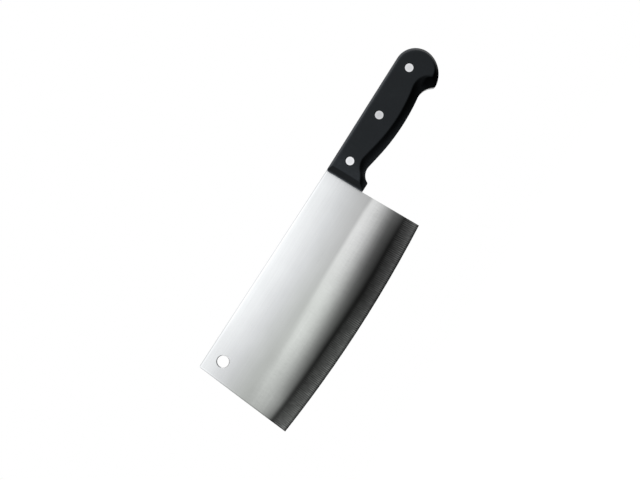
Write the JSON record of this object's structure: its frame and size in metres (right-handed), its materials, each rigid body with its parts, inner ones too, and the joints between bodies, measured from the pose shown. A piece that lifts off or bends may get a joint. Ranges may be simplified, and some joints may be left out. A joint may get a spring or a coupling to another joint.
{
  "type": "meat cleaver",
  "caption": "Butcher's meat cleaver: broad rectangular blade with a curved edge and a hanging hole, full tang, and two dark riveted handle scales with a finger guard and a hooked butt.",
  "frame": {"origin": "middle of the bottom of the whole cleaver's box, below the cutting edge", "axes": "+X from the blade's tip to the butt of the handle, +Z from the cutting edge up to the spine, Y across the thickness with the left handle scale on -Y"},
  "size_m": [0.2994, 0.02, 0.0867],
  "materials": {
    "blade_steel": "satin ground stainless steel with a darker, cross-ground cutting bevel",
    "handle_plastic": "satin black moulded acetal, softly rounded edges",
    "rivet_metal": "bright, ground flush with the scales"
  },
  "bodies": {
    "root": {"blade": "blade_steel", "left_handle_scale": "handle_plastic", "right_handle_scale": "handle_plastic", "front_rivet_stud": "rivet_metal", "front_rivet_sleeve": "rivet_metal", "middle_rivet_stud": "rivet_metal", "middle_rivet_sleeve": "rivet_metal", "rear_rivet_stud": "rivet_metal", "rear_rivet_sleeve": "rivet_metal"}
  },
  "joints": []
}
